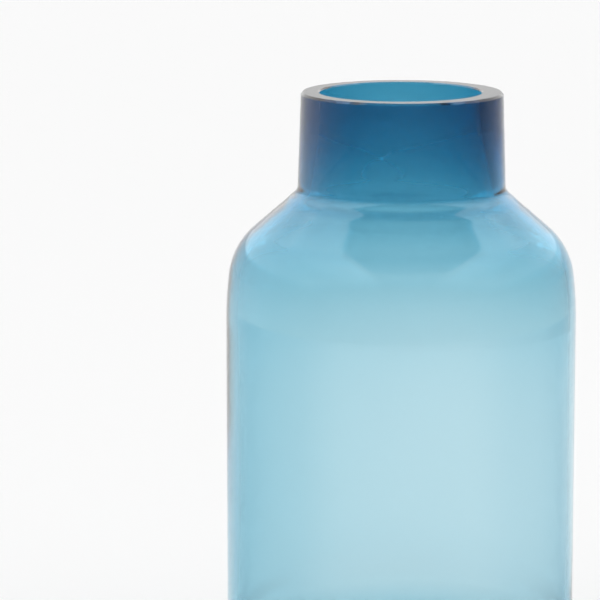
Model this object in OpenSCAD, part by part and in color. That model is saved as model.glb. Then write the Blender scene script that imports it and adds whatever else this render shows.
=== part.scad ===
// Hand blown vase in two layers of glass: a blue lining, thick in the neck and thin in the
// body, inside a clear casing. Both are turned about the vertical axis, stand on z = 0 and
// are fused face to face along one line, which is worked out from the cavity. Millimetres.

/* [Overall] */
// Height from the foot to the ground rim
height = 230; // [190:1:280]
// Outer diameter of the body
body_d = 125; // [105:1:150]

/* [Neck] */
// Outer diameter at the rim
rim_d = 71.8; // [60:0.1:86]
// Outer diameter where the neck line meets the shoulder line
neck_base_d = 74; // [62:0.1:88]
// Height from that meeting point to the rim
neck_h = 35.2; // [30:0.1:60]
// Bore of the mouth
mouth_d = 57.6; // [44:0.1:60]
// Depth below the rim to which the bore is straight, before it tapers open
bore_h = 13; // [6:1:18]
// Bore where its taper meets the shoulder's inside
bore_foot_d = 65.2; // [56:0.1:66]
// Radius of the hollow fillet where the neck runs into the shoulder
neck_fillet_r = 5; // [3:0.5:12]
// Radius on which the bore opens into the shoulder
bore_flare_r = 10; // [5:1:20]
// Width of the ground bevel on the rim's outer edge
outer_bevel = 0.8; // [0.3:0.1:1.5]
// Width of the ground bevel on the rim's inner edge
inner_bevel = 0.5; // [0.2:0.1:1]

/* [Shoulder] */
// Fall of the straight shoulder below the horizontal, in degrees
shoulder_fall = 41; // [35:1:50]
// Radius of the shoulder's round corner
shoulder_r = 25; // [15:1:28]
// Length of the stretch that leans in above the straight body
lean_l = 18; // [17:0.5:26]
// Lean of that stretch from the vertical, in degrees
lean_angle = 7; // [3:0.5:10]
// Radius on which the lean runs into the straight body
lean_r = 130; // [60:5:140]

/* [Walls] */
// Thickness of the shoulder's glass
shoulder_wall = 4.2; // [3:0.1:5]
// Thickness of the body's glass
body_wall = 3.4; // [2.4:0.1:4.5]
// Thickness of the base on the axis
floor_t = 13; // [9:0.5:20]
// Radius of the cavity's lower corner
cavity_heel_r = 24; // [16:1:46]
// Radius of the cavity's shallow bowl of a floor
cavity_floor_r = 260; // [180:10:500]

/* [Blue lining] */
// Thickness of the blue at the rim
lining_rim_t = 4.7; // [2:0.1:5.5]
// Thickness of the blue in the lower body, at its thinnest
lining_body_t = 0.55; // [0.4:0.05:1.2]
// Thickness of the blue on the floor
lining_floor_t = 4; // [2:0.5:6.5]
// Depth below the rim at which most of the neck's extra blue has gone
lining_fade_h = 40; // [30:1:70]
// Height above the floor at which the floor's extra blue has gone
lining_pool_h = 12; // [8:1:30]

/* [Foot] */
// Radius of the outer corner at the foot
heel_r = 12; // [6:0.5:16]
// Width of the flat ring that the vase stands on
foot_ring_w = 6; // [4:0.5:12]
// Rise of the hollow underside on the axis
punt_h = 2.6; // [1:0.1:4]
// Diameter of the polished pontil mark
pontil_d = 26; // [15:1:40]
// Depth of the polished pontil mark
pontil_depth = 0.8; // [0.3:0.1:1.5]

/* [Hidden] */
$fn = 180;

arc_step = 2.5;              // degrees between the points of an arc
straight_step = 5;           // mm between the points of a long straight stretch
bore_bend_r = 50;            // radius on which the straight bore turns into its taper
lining_fade_power = 1.6;     // how abruptly the neck's blue fades

body_r = body_d / 2;
rim_r = rim_d / 2;
mouth_r = mouth_d / 2;
foot_r = body_r - heel_r;
punt_r = foot_r - foot_ring_w;
pontil_r = pontil_d / 2;

// ---- lines and arcs in the radius-height plane -------------------------------------------

function unit(v) = v / norm(v);
function cross_z(a, b) = a[0] * b[1] - a[1] * b[0];

// Points on an arc of radius r that is tangent to both lines of a corner
function rounded_corner(from, corner, to, r) =
    let (
        a = unit(from - corner),
        b = unit(to - corner),
        half = acos(a * b) / 2,
        centre = corner + unit(a + b) * r / sin(half),
        start = corner + a * r / tan(half) - centre,
        turn = sign(cross_z(-a, b)) * (180 - 2 * half),
        steps = max(2, ceil(abs(turn) / arc_step))
    )
    [for (i = [0:steps])
        let (t = turn * i / steps)
        centre + [start[0] * cos(t) - start[1] * sin(t), start[0] * sin(t) + start[1] * cos(t)]];

// An outline through corners [r, z, radius], with an arc at each one that has a radius
function rounded_line(c) =
    [for (i = [0:len(c) - 1])
        let (p = [c[i][0], c[i][1]])
        each (c[i][2] == 0 ? [p]
            : rounded_corner([c[i - 1][0], c[i - 1][1]], p, [c[i + 1][0], c[i + 1][1]], c[i][2]))];

// The same outline with points added along its long straight stretches
function with_steps(p) =
    [for (i = [0:len(p) - 2])
        let (n = max(1, floor(norm(p[i + 1] - p[i]) / straight_step)))
        each [for (k = [0:n - 1]) p[i] + (p[i + 1] - p[i]) * k / n],
     p[len(p) - 1]];

// ---- corners of the glass ----------------------------------------------------------------

// The shoulder's three corners for a wall of the given thicknesses, from the neck's line of
// radius neck_r down to the body: the neck's foot, the round corner, and the end of the lean.
function shoulder_corners(neck_r, wall, side_wall, neck_arc, corner_arc, lean_arc) =
    let (
        neck_z = height - neck_h + (neck_base_d / 2 - neck_r) * tan(shoulder_fall)
            - wall / cos(shoulder_fall),
        side_r = body_r - side_wall,
        corner_r = side_r - lean_l * sin(lean_angle),
        corner_z = neck_z - (corner_r - neck_r) * tan(shoulder_fall),
        lean_z = corner_z - lean_l * cos(lean_angle)
    )
    [[neck_r, neck_z, neck_arc], [corner_r, corner_z, corner_arc], [side_r, lean_z, lean_arc]];

outer_line = rounded_line(concat(
    [[rim_r - outer_bevel, height, 0], [rim_r, height - outer_bevel, 0]],
    shoulder_corners(neck_base_d / 2, 0, 0, neck_fillet_r, shoulder_r, lean_r),
    [[body_r, 0, heel_r], [punt_r, 0, 0]]
));

cavity_r = body_r - body_wall;
// Height at which the cavity's bowl of a floor would meet its wall
floor_edge_z = floor_t + cavity_floor_r - sqrt(pow(cavity_floor_r, 2) - pow(cavity_r, 2));

// The heel's arc touches the wall and lies inside the floor's arc, touching it too
heel_x = cavity_r - cavity_heel_r;
heel_lift = sqrt(pow(cavity_floor_r - cavity_heel_r, 2) - pow(heel_x, 2));
heel_z = floor_t + cavity_floor_r - heel_lift;
floor_angle = asin(heel_x / (cavity_floor_r - cavity_heel_r));

cavity_line = with_steps(concat(
    rounded_line(concat(
        [[mouth_r, height, 0], [mouth_r, height - bore_h, bore_bend_r]],
        shoulder_corners(bore_foot_d / 2, shoulder_wall, body_wall, bore_flare_r,
            shoulder_r - body_wall, lean_r - body_wall),
        [[cavity_r, heel_z, 0]]
    )),
    [for (a = [-arc_step:-arc_step:floor_angle - 90])
        [heel_x + cavity_heel_r * cos(a), heel_z + cavity_heel_r * sin(a)]],
    [for (i = [0:8])
        let (a = floor_angle * (1 - i / 8))
        [cavity_floor_r * sin(a), floor_t + cavity_floor_r * (1 - cos(a))]]
));

// Thickness of the blue at a height: most at the rim, least in the body, a pool on the floor
function lining_t(z) =
    lining_body_t
    + (lining_rim_t - lining_body_t) * exp(-pow((height - z) / lining_fade_h, lining_fade_power))
    + (lining_floor_t - lining_body_t) * exp(-pow(max(0, z - floor_t) / lining_pool_h, 2));

// Direction out of the cavity at a point of its outline
function out_of_cavity(p, i) =
    i == 0 ? [1, 0]
    : i == len(p) - 1 ? [0, -1]
    : let (along = unit(p[i + 1] - p[i - 1])) [-along[1], along[0]];

// The line where the two layers are fused
fused_line = [for (i = [0:len(cavity_line) - 1])
    cavity_line[i] + out_of_cavity(cavity_line, i) * lining_t(cavity_line[i][1])];

// The hollow underside: a shallow cap from the foot ring inwards, with the pontil mark in it
punt_cap_r = (pow(punt_r, 2) + pow(punt_h, 2)) / (2 * punt_h);
pontil_cap_r = (pow(pontil_r, 2) + pow(pontil_depth, 2)) / (2 * pontil_depth);
function punt_z(r) = punt_h - punt_cap_r + sqrt(pow(punt_cap_r, 2) - pow(r, 2));
function pontil_z(r) =
    punt_z(pontil_r) + pontil_depth - pontil_cap_r + sqrt(pow(pontil_cap_r, 2) - pow(r, 2));

underside_line = concat(
    [for (i = [1:10]) let (r = punt_r + (pontil_r - punt_r) * i / 10) [r, punt_z(r)]],
    [for (i = [1:8]) let (r = pontil_r * (1 - i / 8)) [r, pontil_z(r)]]
);

function reversed(p) = [for (i = [len(p) - 1:-1:0]) p[i]];
function without_first(p) = [for (i = [1:len(p) - 1]) p[i]];

module turned(outline) {
    rotate_extrude()
        polygon(outline);
}

// ---- the two layers ----------------------------------------------------------------------

// Clear outer gather: ground rim, neck, shoulder, body, heel, foot ring and hollow underside
module clear_casing() {
    color([0.86, 0.93, 0.96, 0.35])
        turned(concat(outer_line, underside_line, reversed(fused_line)));
}

// Blue inner gather: the bore, the cavity's wall and its floor
module blue_lining() {
    bevelled = concat(
        [[mouth_r + inner_bevel, height], [mouth_r, height - inner_bevel]],
        without_first(cavity_line)
    );
    color([0.16, 0.47, 0.64, 0.6])
        turned(concat(bevelled, reversed(fused_line)));
}

clear_casing();
blue_lining();
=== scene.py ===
"""Hand blown vase in two layers of glass: a blue lining fused inside a clear casing.

Both layers are turned outlines with the slight ripples and the off-centre bore of hand work.
The outlines are lines and arcs in the radius-height plane, in metres, Z up, standing on z = 0.
"""

import math

import bpy
import numpy as np
from bpy.props import FloatProperty, FloatVectorProperty, IntProperty, PointerProperty
from bpy.types import Operator, Panel, PropertyGroup
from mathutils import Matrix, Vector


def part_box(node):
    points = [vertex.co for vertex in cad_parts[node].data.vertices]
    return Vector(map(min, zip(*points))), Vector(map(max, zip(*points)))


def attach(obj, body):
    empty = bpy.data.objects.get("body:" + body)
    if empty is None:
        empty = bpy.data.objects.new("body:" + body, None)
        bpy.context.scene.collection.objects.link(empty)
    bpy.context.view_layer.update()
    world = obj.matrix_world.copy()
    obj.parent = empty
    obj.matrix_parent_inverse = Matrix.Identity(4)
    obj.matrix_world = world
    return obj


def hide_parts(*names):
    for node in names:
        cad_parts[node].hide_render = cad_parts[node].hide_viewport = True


bl_info = {
    "name": "Blown Glass Vase",
    "version": (1, 0, 0),
    "blender": (4, 5, 0),
    "location": "3D View > Sidebar > Vase",
    "description": "Blows a vase of blue glass cased in clear glass, and sets a plain studio round it",
    "category": "Add Mesh",
}

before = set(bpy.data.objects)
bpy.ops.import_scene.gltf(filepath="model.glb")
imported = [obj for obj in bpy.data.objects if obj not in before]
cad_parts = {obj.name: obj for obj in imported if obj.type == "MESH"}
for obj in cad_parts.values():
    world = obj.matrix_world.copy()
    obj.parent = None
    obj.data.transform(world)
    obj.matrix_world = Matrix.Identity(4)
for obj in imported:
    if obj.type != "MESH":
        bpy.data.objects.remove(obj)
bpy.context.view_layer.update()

MM = 0.001
CASING_LOW, CASING_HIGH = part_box("clear_casing")
HEIGHT = CASING_HIGH.z
BODY_R = (CASING_HIGH.x - CASING_LOW.x) / 2


# ---- settings a user would change ----------------------------------------------------------


def length(name, description, default_mm):
    """A length property, given in millimetres and kept in metres."""
    return FloatProperty(
        name=name, description=description, default=default_mm * MM,
        min=0.0, unit="LENGTH", subtype="DISTANCE", precision=5,
    )


def angle(name, description, default_degrees):
    """An angle property, given in degrees and kept in radians."""
    return FloatProperty(
        name=name, description=description, default=math.radians(default_degrees),
        unit="ROTATION", subtype="ANGLE",
    )


def linear_colour(hex_value):
    """An sRGB hex colour as three linear numbers."""
    srgb = [int(hex_value[i : i + 2], 16) / 255 for i in (1, 3, 5)]
    return [c / 12.92 if c <= 0.04045 else ((c + 0.055) / 1.055) ** 2.4 for c in srgb]


def colour(name, description, hex_value):
    """A colour property, given as an sRGB hex value and kept linear."""
    return FloatVectorProperty(
        name=name, description=description, default=linear_colour(hex_value),
        subtype="COLOR", size=3, min=0.0, max=1.0,
    )


class VaseSizes(PropertyGroup):
    """The vase's own sizes. Its height and its body's diameter come from the frame."""

    rim_r: length("Rim", "Outer radius at the rim", 35.9)
    neck_base_r: length("Neck base", "Outer radius where the neck meets the shoulder", 37.0)
    neck_h: length("Neck height", "From that meeting point to the rim", 35.2)
    mouth_r: length("Mouth", "Radius of the bore", 28.8)
    neck_fillet_r: length("Neck fillet", "Hollow fillet between neck and shoulder", 5.0)
    bore_flare_r: length("Bore flare", "Radius on which the bore opens into the shoulder", 10.0)
    bore_h: length("Straight bore", "Depth to which the bore is straight", 13.0)
    bore_r: length("Bore bend", "Radius on which the bore starts to open", 50.0)
    bore_foot_r: length("Bore foot", "Radius of the bore at the neck's base", 32.6)
    outer_bevel: length("Outer bevel", "Ground bevel on the rim's outer edge", 0.8)
    inner_bevel: length("Inner bevel", "Ground bevel on the rim's inner edge", 0.5)
    shoulder_fall: angle("Shoulder fall", "Fall of the shoulder below the horizontal", 41.0)
    shoulder_r: length("Shoulder corner", "Radius of the shoulder's round corner", 25.0)
    lean_l: length("Lean length", "Stretch that leans in above the straight body", 18.0)
    lean_angle: angle("Lean", "Lean of that stretch from the vertical", 7.0)
    lean_r: length("Lean radius", "Radius on which the lean runs into the body", 130.0)
    shoulder_wall: length("Shoulder wall", "Thickness of the shoulder's glass", 4.2)
    body_wall: length("Body wall", "Thickness of the body's glass", 3.4)
    floor_t: length("Base", "Thickness of the base on the axis", 13.0)
    cavity_heel_r: length("Inner heel", "Radius of the cavity's lower corner", 24.0)
    cavity_floor_r: length("Inner floor", "Radius of the cavity's shallow floor", 260.0)
    lining_rim_t: length("Blue at the rim", "Thickness of the blue at the rim", 4.7)
    lining_body_t: length("Blue in the body", "Thickness of the blue at its thinnest", 0.55)
    lining_floor_t: length("Blue on the floor", "Thickness of the blue on the floor", 4.0)
    lining_fade_h: length("Blue fade", "Depth in which the neck's blue fades", 40.0)
    lining_pool_h: length("Blue pool", "Height in which the floor's blue fades", 12.0)
    heel_r: length("Heel", "Radius of the outer corner at the foot", 12.0)
    foot_ring_w: length("Foot ring", "Width of the flat ring it stands on", 6.0)
    punt_h: length("Punt", "Rise of the hollow underside", 2.6)
    pontil_r: length("Pontil mark", "Radius of the polished pontil mark", 13.0)
    pontil_depth: length("Pontil depth", "Depth of the polished pontil mark", 0.8)
    bite: length("Fused bite", "How far the blue's fused face lies inside the clear", 0.012)
    jack_mark: length("Jack mark", "Ripple left by the jacks at the neck's base", 0.28)
    jack_pitch: length("Jack pitch", "From one crest of that ripple to the next", 6.5)
    jack_reach: length("Jack reach", "Height in which the ripple dies out", 3.2)
    jack_drop: length("Jack drop", "How far its crest lies below the neck's base", 2.0)
    waviness: length("Waviness", "Height of the slow waves of hand work", 0.06)
    bore_shift: length("Bore shift", "How far the bore lies off the axis at the rim, to the left", 0.6)
    body_shift: length("Body shift", "How far the cavity lies off the axis in the body, to the right", 0.85)
    ior: FloatProperty(
        name="Index of refraction", description="Of both glasses", default=1.5, min=1.0, max=2.0
    )
    segments: IntProperty(
        name="Segments", description="Faces round the vase", default=288, min=64, max=360
    )


class VaseLooks(PropertyGroup):
    """The glass's colours and the studio's light."""

    clear_tint: colour("Clear tint", "Surface tint of the clear glass", "#ffffff")
    iron_colour: colour("Iron colour", "What a trace of iron leaves of the light", "#f2fbf9")
    iron_density: FloatProperty(
        name="Iron density", description="Absorption of the clear glass a metre", default=4.0
    )
    blue_tint: colour("Blue tint", "Surface tint of the blue glass", "#ffffff")
    blue_colour: FloatVectorProperty(
        name="Blue colour", description="What the blue glass leaves of the light",
        default=(0.10, 0.63, 0.766), subtype="COLOR", size=3, min=0.0, max=1.0,
    )
    blue_density: FloatProperty(
        name="Blue density", description="Absorption of the blue glass a metre", default=700.0
    )
    paper: colour("Paper", "The floor", "#fbfbfb")
    # The flag's colour is a painted reflection: the dark blue that the body's sides reflect, from a ring
    # that only reflections see.
    flag: colour("Flag", "The flag on the floor at the sides, where it is darkest", "#1f5f8f")
    card_h: length("Card height", "Height of the dark card", 250)
    card_distance: length("Card distance", "From the vase's axis", 1000)
    flag_from: length("Flag radius", "From the vase's axis to the flag on the floor", 160)
    card_from: angle("Card from", "Where its arc starts, from straight ahead", -106)
    card_to: angle("Card to", "Where its arc ends", 146)
    horizon: FloatProperty(name="Horizon", description="Level of the white room", default=0.956)
    dome: FloatProperty(name="Dome", description="Level of the room's upper part", default=1.2)
    box_level: FloatProperty(
        name="Softbox level", description="Added level of the softboxes", default=0.585
    )
    back_level: FloatProperty(
        name="Back light", description="Level of the big light above and behind", default=2.5
    )
    gap_left: FloatProperty(name="Gap left", description="Slope where it ends", default=0.38)
    gap_right: FloatProperty(name="Gap right", description="Slope where it ends", default=0.55)
    gap_dimming: FloatProperty(
        name="Gap dimming", description="How much darker the gap overhead is", default=0.72
    )
    camera_at: FloatVectorProperty(
        name="Camera place", description="Where the camera stands", size=3, unit="LENGTH",
        subtype="XYZ", default=(-0.03617, -1.2323, 0.3785),
    )
    camera_dip: angle("Camera dip", "How far the camera looks down", 10.28)


# ---- outlines ------------------------------------------------------------------------------

ARC_STEP = math.radians(2.5)
STRAIGHT_STEP = 3.0 * MM
# The jack mark at the neck's base gets a closer step within this height of it.
FINE_STEP = 0.6 * MM
FINE_REACH = 9.0 * MM
ALL_HEIGHTS = (-1.0, 1.0)
# How abruptly the neck's blue fades with depth.
FADE_POWER = 1.6


def unit(v):
    """The same direction with length 1."""
    return v / np.linalg.norm(v)


def rounded_corner(before, corner, after, radius):
    """An arc of that radius that is tangent to both lines of a corner."""
    a, b = unit(before - corner), unit(after - corner)
    half = math.acos(float(a @ b)) / 2
    centre = corner + unit(a + b) * radius / math.sin(half)
    start = corner + a * radius / math.tan(half) - centre
    turn = np.sign(a[1] * b[0] - a[0] * b[1]) * (math.pi - 2 * half)
    steps = max(2, math.ceil(abs(turn) / ARC_STEP), math.ceil(abs(turn) * radius / STRAIGHT_STEP))
    t = turn * np.arange(steps + 1) / steps
    across = np.array([-start[1], start[0]])
    return centre + np.outer(np.cos(t), start) + np.outer(np.sin(t), across)


def rounded_line(corners):
    """A line through corners (r, z, radius), with an arc at each that has a radius."""
    points = np.array([c[:2] for c in corners], float)
    parts = [
        points[i : i + 1] if not corners[i][2]
        else rounded_corner(points[i - 1], points[i], points[i + 1], corners[i][2])
        for i in range(len(corners))
    ]
    return np.vstack(parts)


def with_steps(line, step=STRAIGHT_STEP, heights=ALL_HEIGHTS):
    """The same line with points added, so that no stretch between the heights is too long."""
    parts = []
    for a, b in zip(line[:-1], line[1:]):
        inside = heights[0] < (a[1] + b[1]) / 2 < heights[1]
        n = math.ceil(np.linalg.norm(b - a) / step) if inside else 1
        parts.append(a + (b - a) * (np.arange(n) / n)[:, None])
    return np.vstack(parts + [line[-1:]])


def shoulder_corners(s, neck_r, wall, side_wall, neck_arc, corner_arc, lean_arc):
    """The neck's foot, the shoulder's round corner and the end of the lean, in a wall's depth."""
    neck_z = (
        HEIGHT - s.neck_h + (s.neck_base_r - neck_r) * math.tan(s.shoulder_fall)
        - wall / math.cos(s.shoulder_fall)
    )
    side_r = BODY_R - side_wall
    corner_r = side_r - s.lean_l * math.sin(s.lean_angle)
    corner_z = neck_z - (corner_r - neck_r) * math.tan(s.shoulder_fall)
    lean_z = corner_z - s.lean_l * math.cos(s.lean_angle)
    return [(neck_r, neck_z, neck_arc), (corner_r, corner_z, corner_arc), (side_r, lean_z, lean_arc)]


def outer_line(s):
    """Ground bevel, neck, shoulder, body and heel, down to the foot ring's inner edge."""
    foot_r = BODY_R - s.heel_r
    bevel = [(s.rim_r - s.outer_bevel, HEIGHT, 0), (s.rim_r, HEIGHT - s.outer_bevel, 0)]
    shoulder = shoulder_corners(s, s.neck_base_r, 0, 0, s.neck_fillet_r, s.shoulder_r, s.lean_r)
    foot = [(BODY_R, 0, s.heel_r), (foot_r - s.foot_ring_w, 0, 0)]
    return rounded_line(bevel + shoulder + foot)


def underside_line(s):
    """The hollow underside: a shallow cap, with the smaller cap of the pontil mark in it."""
    punt_r = BODY_R - s.heel_r - s.foot_ring_w
    cap_r = (punt_r**2 + s.punt_h**2) / (2 * s.punt_h)
    mark_r = (s.pontil_r**2 + s.pontil_depth**2) / (2 * s.pontil_depth)
    punt = np.linspace(punt_r, s.pontil_r, 13)[1:]
    mark = np.linspace(s.pontil_r, 0, 9)[1:]
    punt_z = s.punt_h - cap_r + np.sqrt(cap_r**2 - punt**2)
    mark_z = punt_z[-1] + s.pontil_depth - mark_r + np.sqrt(mark_r**2 - mark**2)
    return np.column_stack([np.append(punt, mark), np.append(punt_z, mark_z)])


def cavity_line(s):
    """The bore, the shoulder's inside, the wall, the heel's arc and the floor's shallow arc."""
    side_r = BODY_R - s.body_wall
    heel_x = side_r - s.cavity_heel_r
    reach = s.cavity_floor_r - s.cavity_heel_r
    heel_z = s.floor_t + s.cavity_floor_r - math.sqrt(reach**2 - heel_x**2)
    floor_angle = math.asin(heel_x / reach)
    wall = rounded_line(
        [(s.mouth_r, HEIGHT, 0), (s.mouth_r, HEIGHT - s.bore_h, s.bore_r)]
        + shoulder_corners(
            s, s.bore_foot_r, s.shoulder_wall, s.body_wall, s.bore_flare_r,
            s.shoulder_r - s.body_wall, s.lean_r - s.body_wall,
        )
        + [(side_r, heel_z, 0)]
    )
    turn = math.pi / 2 - floor_angle
    t = turn * np.arange(1, 34) / 33
    heel = np.column_stack(
        [heel_x + s.cavity_heel_r * np.cos(t), heel_z - s.cavity_heel_r * np.sin(t)]
    )
    t = floor_angle * (1 - np.arange(1, 17) / 16)
    floor = np.column_stack(
        [s.cavity_floor_r * np.sin(t), s.floor_t + s.cavity_floor_r * (1 - np.cos(t))]
    )
    return with_steps(np.vstack([wall, heel, floor]))


def lining_thickness(s, z):
    """The blue's thickness by height: most at the rim, least in the body, a pool on the floor."""
    neck = np.exp(-(((HEIGHT - z) / s.lining_fade_h).clip(0) ** FADE_POWER))
    pool = np.exp(-(((z - s.floor_t).clip(0) / s.lining_pool_h) ** 2))
    return (
        s.lining_body_t
        + (s.lining_rim_t - s.lining_body_t) * neck
        + (s.lining_floor_t - s.lining_body_t) * pool
    )


def moved_out(line, distance):
    """The line moved along its normals, out of the cavity. Its ends move level and upright."""
    along = np.zeros_like(line)
    along[1:-1] = line[2:] - line[:-2]
    along[0], along[-1] = (0, -1), (-1, 0)
    along /= np.linalg.norm(along, axis=1)[:, None]
    out = np.column_stack([-along[:, 1], along[:, 0]])
    return line + out * np.reshape(distance, (-1, 1))


# ---- surfaces ------------------------------------------------------------------------------


def turning(outline):
    """Turning angle of the outline at each of its points, in degrees. Zero at the two ends."""
    steps = np.diff(outline, axis=0)
    heading = np.unwrap(np.arctan2(steps[:, 1], steps[:, 0]))
    return np.degrees(np.abs(np.concatenate([[0], np.diff(heading), [0]])))


def turned_mesh(name, outline, depth, fused, s):
    """Turns an outline whose two ends lie on the axis into one closed mesh.

    Ring i is ((r + w) cos a, (r + w) sin a, z), where w = handwork(r, z, a, depth).
    Faces between fused rings carry ior 1, because no light bends where glass meets glass.
    """
    segments = s.segments
    rings = outline[1:-1]
    a = np.arange(segments)[None, :] * 2 * math.pi / segments
    r, z = rings[:, :1], rings[:, 1:]
    r = r + handwork(s, r, z, a, depth[1:-1, None])
    wide = np.stack([r * np.cos(a), r * np.sin(a), z + 0 * a], axis=-1).reshape(-1, 3)
    verts = np.vstack([wide, [(0, 0, outline[0, 1]), (0, 0, outline[-1, 1])]])
    n = len(rings)
    here = np.arange(segments)
    after = np.roll(here, -1)
    ring = (np.arange(n - 1) * segments)[:, None]
    below = ring + segments
    quads = np.stack([ring + here, below + here, below + after, ring + after], -1).reshape(-1, 4)
    tip, last = np.full(segments, n * segments), (n - 1) * segments
    start_fan = np.stack([tip, here, after], -1)
    end_fan = np.stack([tip + 1, last + after, last + here], -1)
    mesh = bpy.data.meshes.new(name)
    mesh.from_pydata(verts.tolist(), [], quads.tolist() + start_fan.tolist() + end_fan.tolist())
    mesh.polygons.foreach_set("use_smooth", np.ones(len(mesh.polygons), bool))

    both = fused[:-1] & fused[1:]
    ior = np.where(both, 1.0, s.ior)
    ior = np.concatenate([np.repeat(ior[1:-1], segments), np.repeat(ior[[0, -1]], segments)])
    mesh.attributes.new("ior", "FLOAT", "FACE").data.foreach_set("value", ior.astype(np.float32))

    sharp_ring = np.append((turning(outline) > 5)[1:-1], [False, False])
    edges = np.empty(len(mesh.edges) * 2, np.int32)
    mesh.edges.foreach_get("vertices", edges)
    edge_rings = edges.reshape(-1, 2) // segments
    level = edge_rings[:, 0] == edge_rings[:, 1]
    sharp = level & sharp_ring[edge_rings[:, 0]]
    mesh.attributes.new("sharp_edge", "BOOLEAN", "EDGE").data.foreach_set("value", sharp)
    mesh.update()
    return mesh


def wave(z, a, height, lobes, climb, phase):
    """height · sin(lobes · a + climb · z + phase): lobes round the vase that climb as a screw."""
    return height * np.sin(lobes * a + climb * z + phase)


# Heights over which the cavity's shift comes in: below the rim, above the foot and at the rim.
SHIFT_START = 0.08
SHIFT_END = 0.045
RIM_REACH = 0.022
# Handwork fades out within this height of the foot and this radius of the axis.
FOOT_FADE = 0.02
AXIS_FADE = 0.03


def handwork(s, r, z, a, depth):
    """How far hand work moved each point outward. depth is 0 on the cavity and 1 outside.

    outside = jack · cos(2π h / pitch) · exp(-(h / reach)²) · (1 - sin a) / 2 + slow waves,
    where h is the height above the mark's crest, and the mark is deepest in front
    cavity = shift(z) · cos(a) + slow waves, where shift turns from left at the rim to right below
    """
    h = z - (HEIGHT - s.neck_h - s.jack_drop)
    jack = s.jack_mark * np.cos(2 * math.pi * h / s.jack_pitch) * np.exp(-((h / s.jack_reach) ** 2))
    jack = jack * (1 - np.sin(a)) / 2
    outside = jack + s.waviness * (
        wave(z, a, 1.0, 2, 9, 0.4) + wave(z, a, 0.6, 3, -17, 1.9) + wave(z, a, 0.3, 5, 31, 0.7)
    )
    depth_down = HEIGHT - z
    shift = s.body_shift * (1 - np.exp(-((depth_down / SHIFT_START) ** 2)))
    shift = shift * (1 - np.exp(-((z / SHIFT_END) ** 2)))
    shift = shift - s.bore_shift * np.exp(-((depth_down / RIM_REACH) ** 2))
    cavity = shift * np.cos(a) + s.waviness * (
        wave(z, a, 1.4, 2, -11, 2.1) + wave(z, a, 0.9, 3, 23, 0.3) + wave(z, a, 0.4, 7, -38, 4.0)
    )
    stand = 1 - np.exp(-((z / FOOT_FADE) ** 2))
    near_axis = (r / AXIS_FADE).clip(0, 1) ** 2
    return (depth * outside + (1 - depth) * cavity) * stand * near_axis


# The fused face follows the cavity's handwork, with this share of the outside's.
FUSED_DEPTH = 0.15


def casing_mesh(s):
    """The clear layer: up the fused face, over the rim, down the outside and under the foot."""
    cavity = cavity_line(s)
    fused = moved_out(cavity, lining_thickness(s, cavity[:, 1]))[::-1]
    outside = with_steps(np.vstack([outer_line(s), underside_line(s)]))
    base = HEIGHT - s.neck_h
    outside = with_steps(outside, FINE_STEP, (base - FINE_REACH, base + FINE_REACH))
    outline = np.vstack([fused, outside])
    is_fused = np.arange(len(outline)) < len(fused)
    depth = np.where(is_fused, FUSED_DEPTH, 1.0)
    return turned_mesh("clear_casing", outline, depth, is_fused, s)


def lining_mesh(s):
    """The blue layer: up the cavity, over the rim and down the fused face.

    Its fused face lies a hair outside the casing's, so that no light finds air between them.
    """
    line = cavity_line(s)
    fused = moved_out(line, lining_thickness(s, line[:, 1]) + s.bite)
    bevel = [(s.mouth_r, HEIGHT - s.inner_bevel), (s.mouth_r + s.inner_bevel, HEIGHT)]
    cavity = np.vstack([line[:0:-1], bevel])
    outline = np.vstack([cavity, fused])
    is_fused = np.arange(len(outline)) >= len(cavity)
    depth = np.where(is_fused, FUSED_DEPTH, 0.0)
    return turned_mesh("blue_lining", outline, depth, is_fused, s)


# ---- materials -----------------------------------------------------------------------------


def add(tree, kind, inputs=None, **settings):
    """Adds a node, gives it its settings, and fills its inputs with values or sockets."""
    made = tree.nodes.new(kind)
    for key, value in settings.items():
        setattr(made, key, value)
    for key, value in (inputs or {}).items():
        if isinstance(value, bpy.types.NodeSocket):
            tree.links.new(value, made.inputs[key])
        else:
            made.inputs[key].default_value = value
    return made


def math_node(tree, operation, *values, clamp=False):
    """One Math node's result, from one to three values or sockets."""
    made = add(tree, "ShaderNodeMath", dict(enumerate(values)), operation=operation, use_clamp=clamp)
    return made.outputs[0]


def smooth_between(tree, value, low, high, start=0.0, end=1.0):
    """Goes smoothly from start to end while the value goes from low to high."""
    inputs = {"Value": value, "From Min": low, "From Max": high, "To Min": start, "To Max": end}
    return add(tree, "ShaderNodeMapRange", inputs, interpolation_type="SMOOTHSTEP").outputs["Result"]


def rgba(value):
    """A colour's three numbers with an alpha of 1."""
    return (*value, 1.0)


def glass(name, s, tint):
    """Smooth soda-lime glass, with an index of refraction that the fused faces bring down to 1."""
    material = bpy.data.materials.new(name)
    material.use_nodes = True
    tree = material.node_tree
    shader = tree.nodes["Principled BSDF"]
    shader.inputs["Base Color"].default_value = rgba(tint)
    shader.inputs["Roughness"].default_value = 0.0
    shader.inputs["Transmission Weight"].default_value = 1.0
    shader.inputs["IOR"].default_value = s.ior
    ior = add(tree, "ShaderNodeAttribute", attribute_name="ior")
    tree.links.new(ior.outputs["Fac"], shader.inputs["IOR"])
    return material


def absorb(material, colour_left, density):
    """Fills the glass with a plain absorption of (1 - colour) · density a metre."""
    tree = material.node_tree
    volume = add(
        tree, "ShaderNodeVolumeAbsorption", {"Color": rgba(colour_left), "Density": density}
    )
    tree.links.new(volume.outputs[0], tree.nodes["Material Output"].inputs["Volume"])


# ---- pieces --------------------------------------------------------------------------------


def place(context, mesh, material):
    """Links the mesh as an object at the origin and gives it its material."""
    obj = bpy.data.objects.new(mesh.name, mesh)
    context.scene.collection.objects.link(obj)
    mesh.materials.append(material)
    return obj


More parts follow.
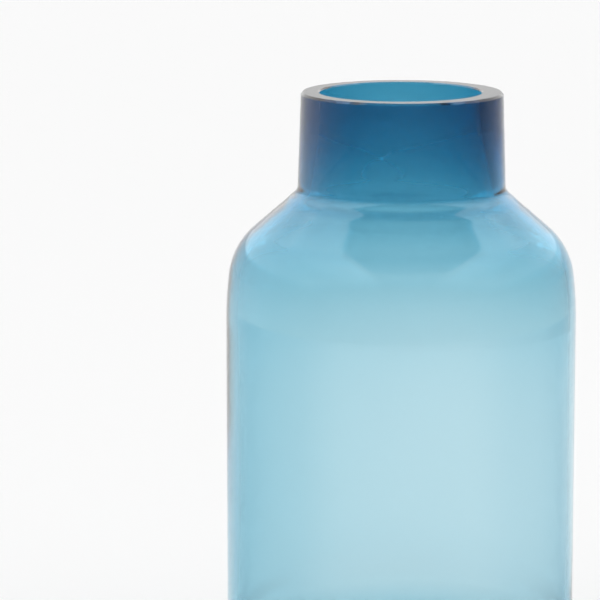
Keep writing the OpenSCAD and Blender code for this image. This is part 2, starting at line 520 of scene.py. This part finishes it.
class VASE_OT_blow_casing(Operator):
    """Blow the clear outer layer"""

    bl_idname = "vase.blow_casing"
    bl_label = "Blow the clear casing"

    def execute(self, context):
        scene = context.scene
        # Clear soda-lime glass, fire-polished: index 1.5, no roughness, a trace of iron green.
        material = glass("clear_soda_lime_glass", scene.vase_sizes, scene.vase_looks.clear_tint)
        absorb(material, scene.vase_looks.iron_colour, scene.vase_looks.iron_density)
        piece = place(context, casing_mesh(scene.vase_sizes), material)
        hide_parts("clear_casing")
        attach(piece, "root")
        return {"FINISHED"}


class VASE_OT_blow_lining(Operator):
    """Blow the blue inner layer"""

    bl_idname = "vase.blow_lining"
    bl_label = "Blow the blue lining"

    def execute(self, context):
        scene = context.scene
        # Copper blue glass, the same metal with colour in it: red goes first, then green.
        material = glass("copper_blue_glass", scene.vase_sizes, scene.vase_looks.blue_tint)
        absorb(material, scene.vase_looks.blue_colour, scene.vase_looks.blue_density)
        piece = place(context, lining_mesh(scene.vase_sizes), material)
        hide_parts("blue_lining")
        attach(piece, "root")
        return {"FINISHED"}


# ---- stage ---------------------------------------------------------------------------------


FLOOR_REACH = 12.0
LENS_MM = 210
SENSOR_MM = 36
BLACK = (0.0, 0.0, 0.0)
WHITE = (1.0, 1.0, 1.0)


def quad_object(context, name, corners, material):
    """One four-sided face of the stage."""
    mesh = bpy.data.meshes.new(name)
    mesh.from_pydata(corners, [], [(0, 1, 2, 3)])
    obj = place(context, mesh, material)
    return obj


def matt(name, tint):
    """A plain matt material."""
    material = bpy.data.materials.new(name)
    material.use_nodes = True
    shader = material.node_tree.nodes["Principled BSDF"]
    shader.inputs["Base Color"].default_value = rgba(tint)
    shader.inputs["Roughness"].default_value = 1.0
    shader.inputs["Specular IOR Level"].default_value = 0.0
    return material


# The cards lie just clear of the floor, so that no faces coincide.
CARD_LIFT = 1.0 * MM
FLAG_LIFT = 1.2 * MM
FLAG_MARGIN = 10.0 * MM
CARD_STATIONS = 48
FLAG_STATIONS = 72


def strip_object(context, looks, material):
    """A low dark card that stands in an arc in front of the vase, out of the camera's sight: painted shade
    of the room's unlit front, seen in the glass's reflections and refractions.
    """
    n = CARD_STATIONS
    a = np.linspace(looks.card_from, looks.card_to, n)
    x, y = looks.card_distance * np.sin(a), -looks.card_distance * np.cos(a)
    low = np.column_stack([x, y, 0 * a + CARD_LIFT])
    high = np.column_stack([x, y, 0 * a + looks.card_h])
    i = np.arange(n - 1)
    faces = np.column_stack([i, i + 1, i + n + 1, i + n])
    mesh = bpy.data.meshes.new("room_shade_strip")
    mesh.from_pydata(np.vstack([low, high]).tolist(), [], faces.tolist())
    obj = place(context, mesh, material)
    obj.visible_camera = False
    obj.visible_shadow = False
    return obj


def reflection_flag_object(context, looks, material):
    """A flat ring on the floor that only reflections see. Its dark blue is a painted reflection that
    darkens and blues the body's sides.
    """
    n = FLAG_STATIONS
    a = np.linspace(0, 2 * math.pi, n, endpoint=False)
    rings = [
        np.column_stack([r * np.sin(a), -r * np.cos(a), 0 * a + FLAG_LIFT])
        for r in (looks.flag_from, looks.card_distance - FLAG_MARGIN)
    ]
    i = np.arange(n)
    j = (i + 1) % n
    mesh = bpy.data.meshes.new("reflection_only_flag")
    mesh.from_pydata(np.vstack(rings).tolist(), [], np.column_stack([i, i + n, j + n, j]).tolist())
    obj = place(context, mesh, material)
    obj.visible_camera = False
    obj.visible_shadow = False
    obj.visible_diffuse = False
    obj.visible_transmission = False
    return obj


# Levels by azimuth in degrees from straight ahead: for the room's light and for the card, whose colour
# copies it as painted shade, and for the flag, whose colour is a painted reflection.
AZIMUTH_STOPS = (
    (-180, 1.0), (-104, 1.0), (-85, 0.62), (-67, 0.42), (-58, 0.28),
    (60, 0.28), (90, 0.36), (105, 0.5), (120, 0.7), (144, 1.0), (180, 1.0),
)
FLAG_STOPS = (
    (-180, 1.0), (-138, 1.0), (-112, 0.1), (-66, 0.0), (-40, 0.92),
    (44, 0.92), (70, 0.1), (120, 0.1), (144, 1.0), (180, 1.0),
)


def side_light(tree, x, y, level_stops=AZIMUTH_STOPS):
    """Level by azimuth. The room's is dark in front and white from the sides to the back."""
    azimuth = math_node(tree, "ARCTAN2", x, math_node(tree, "MULTIPLY", y, -1.0))
    place_in_ramp = math_node(tree, "MULTIPLY_ADD", azimuth, 0.5 / math.pi, 0.5)
    ramp = add(tree, "ShaderNodeValToRGB", {"Fac": place_in_ramp})
    stops = ramp.color_ramp.elements
    for i, (degrees, level) in enumerate(level_stops):
        at = degrees / 360 + 0.5
        stop = stops[i] if i < 2 else stops.new(at)
        stop.position = at
        stop.color = (level, level, level, 1.0)
    return ramp.outputs["Color"]


def shade_painted_card(name, level_stops, dark, light):
    """Matt card coloured from the light colour to the dark one by azimuth round the vase: painted shade,
    which the glass shows in its reflections.
    """
    material = matt(name, light)
    tree = material.node_tree
    here = add(tree, "ShaderNodeTexCoord").outputs["Object"]
    parts = add(tree, "ShaderNodeSeparateXYZ", {0: here}).outputs
    # Light levels by azimuth, used here as the card's colour: painted shade.
    level = side_light(tree, parts[0], parts[1], level_stops)
    mixed = add(
        tree, "ShaderNodeMix", {0: level, 6: rgba(dark), 7: rgba(light)}, data_type="RGBA"
    )
    tree.links.new(mixed.outputs[2], tree.nodes["Principled BSDF"].inputs["Base Color"])
    return material


# Where the room's parts fade in: by the direction's height z, or by its slope from the zenith.
DOME_Z = (0.55, 0.8)
BACK_Z = (0.55, 0.75)
BACK_SLOPE = (0.5, 0.8)
GAP_Z = (0.7, 0.8)
BOX_EDGE = 0.06
BOX_END = (3.2, 2.6)
BOX_FRONT = (-1.5, -1.3)
LEAST_Z = 0.001


def room(world, looks):
    """A white room with a dark front, a soft box on each side of the zenith, and a gap between.

    The softboxes are bounded by the direction's slopes x / z and y / z from the zenith.
    The camera itself sees the room as plain white, at the horizon's level.
    """
    world.use_nodes = True
    tree = world.node_tree
    tree.nodes.clear()
    direction = add(tree, "ShaderNodeTexCoord").outputs["Generated"]
    parts = add(tree, "ShaderNodeSeparateXYZ", {0: direction}).outputs
    x, y, z = parts[0], parts[1], parts[2]
    side = side_light(tree, x, y)
    side = math_node(tree, "MULTIPLY", side, looks.horizon)
    high = smooth_between(tree, z, *DOME_Z)
    around = add(tree, "ShaderNodeMix", {"Factor": high, "A": side, "B": looks.dome}).outputs[0]
    lift = math_node(tree, "MAXIMUM", z, LEAST_Z)
    slope_x = math_node(tree, "DIVIDE", x, lift)
    slope_y = math_node(tree, "DIVIDE", y, lift)
    behind = smooth_between(tree, slope_y, *BACK_SLOPE)
    back = math_node(tree, "MULTIPLY", behind, smooth_between(tree, z, *BACK_Z))
    ahead = math_node(tree, "SUBTRACT", 1.0, back)
    end, end_edge = BOX_END
    left = smooth_between(tree, slope_x, -looks.gap_left, -looks.gap_left - BOX_EDGE)
    left = math_node(tree, "MULTIPLY", left, smooth_between(tree, slope_x, -end, -end_edge))
    right = smooth_between(tree, slope_x, looks.gap_right, looks.gap_right + BOX_EDGE)
    right = math_node(tree, "MULTIPLY", right, smooth_between(tree, slope_x, end, end_edge))
    reach = math_node(tree, "MULTIPLY", smooth_between(tree, slope_y, *BOX_FRONT), ahead)
    boxes = math_node(tree, "MULTIPLY", math_node(tree, "ADD", left, right), reach)
    overhead = math_node(tree, "MULTIPLY", smooth_between(tree, z, *GAP_Z), ahead)
    gap = math_node(tree, "MULTIPLY", overhead, math_node(tree, "SUBTRACT", 1.0, boxes))
    level = math_node(tree, "MULTIPLY_ADD", boxes, looks.box_level, around)
    dim = math_node(tree, "MULTIPLY_ADD", gap, -looks.gap_dimming, 1.0)
    level = math_node(tree, "MULTIPLY", level, dim)
    lit = {"Factor": back, "A": level, "B": looks.back_level}
    level = add(tree, "ShaderNodeMix", lit).outputs[0]
    seen = add(tree, "ShaderNodeLightPath").outputs["Is Camera Ray"]
    level = add(tree, "ShaderNodeMix", {"Factor": seen, "A": level, "B": looks.horizon}).outputs[0]
    background = add(tree, "ShaderNodeBackground", {"Color": (1, 1, 1, 1), "Strength": level})
    output = add(tree, "ShaderNodeOutputWorld")
    tree.links.new(background.outputs[0], output.inputs["Surface"])


class VASE_OT_set_stage(Operator):
    """Set the floor, the room's light and the camera"""

    bl_idname = "vase.set_stage"
    bl_label = "Set the stage"

    def execute(self, context):
        scene = context.scene
        looks = scene.vase_looks
        # White seamless paper, matt.
        paper = matt("white_paper", looks.paper)
        w = FLOOR_REACH
        quad_object(context, "floor", [(-w, -w, 0), (w, -w, 0), (w, w, 0), (-w, w, 0)], paper)
        # Matt card, graded from white at both ends to dark grey in the middle: painted shade of the room's
        # dark front, hidden from the camera.
        card = shade_painted_card("room_shade_card", AZIMUTH_STOPS, BLACK, WHITE)
        strip_object(context, looks, card)
        # Painted reflection: a flat card graded from white behind and in front to dark blue at the sides,
        # seen only in the glass's reflections.
        flag = shade_painted_card("reflection_shade_flag", FLAG_STOPS, looks.flag, looks.paper)
        reflection_flag_object(context, looks, flag)

        world = bpy.data.worlds.new("studio")
        scene.world = world
        room(world, looks)

        lens = bpy.data.cameras.new("camera")
        lens.lens = LENS_MM
        lens.sensor_width = SENSOR_MM
        camera = bpy.data.objects.new("camera", lens)
        camera.location = looks.camera_at
        camera.rotation_euler = (math.pi / 2 - looks.camera_dip, 0, 0)
        scene.collection.objects.link(camera)
        scene.camera = camera

        scene.view_settings.view_transform = "Standard"
        scene.view_settings.look = "None"
        scene.cycles.max_bounces = 40
        scene.cycles.transmission_bounces = 36
        scene.cycles.glossy_bounces = 12
        scene.cycles.diffuse_bounces = 4
        scene.cycles.volume_bounces = 0
        scene.cycles.blur_glossy = 0.3
        scene.cycles.use_denoising = True
        return {"FINISHED"}


# ---- add-on --------------------------------------------------------------------------------


class VASE_PT_panel(Panel):
    """The vase's sizes, looks and operators in the sidebar"""

    bl_label = "Blown Glass Vase"
    bl_idname = "VASE_PT_panel"
    bl_space_type = "VIEW_3D"
    bl_region_type = "UI"
    bl_category = "Vase"

    def draw(self, context):
        layout = self.layout
        for operator in OPERATORS:
            layout.operator(operator.bl_idname)
        for group in (context.scene.vase_sizes, context.scene.vase_looks):
            box = layout.box()
            for name in group.__annotations__:
                box.prop(group, name)


OPERATORS = (VASE_OT_blow_casing, VASE_OT_blow_lining, VASE_OT_set_stage)
CLASSES = (VaseSizes, VaseLooks, *OPERATORS, VASE_PT_panel)


def register():
    for cls in CLASSES:
        bpy.utils.register_class(cls)
    bpy.types.Scene.vase_sizes = PointerProperty(type=VaseSizes)
    bpy.types.Scene.vase_looks = PointerProperty(type=VaseLooks)


def unregister():
    del bpy.types.Scene.vase_looks
    del bpy.types.Scene.vase_sizes
    for cls in reversed(CLASSES):
        bpy.utils.unregister_class(cls)


def main():
    register()
    bpy.ops.vase.blow_casing()
    bpy.ops.vase.blow_lining()
    bpy.ops.vase.set_stage()


if __name__ == "__main__":
    main()
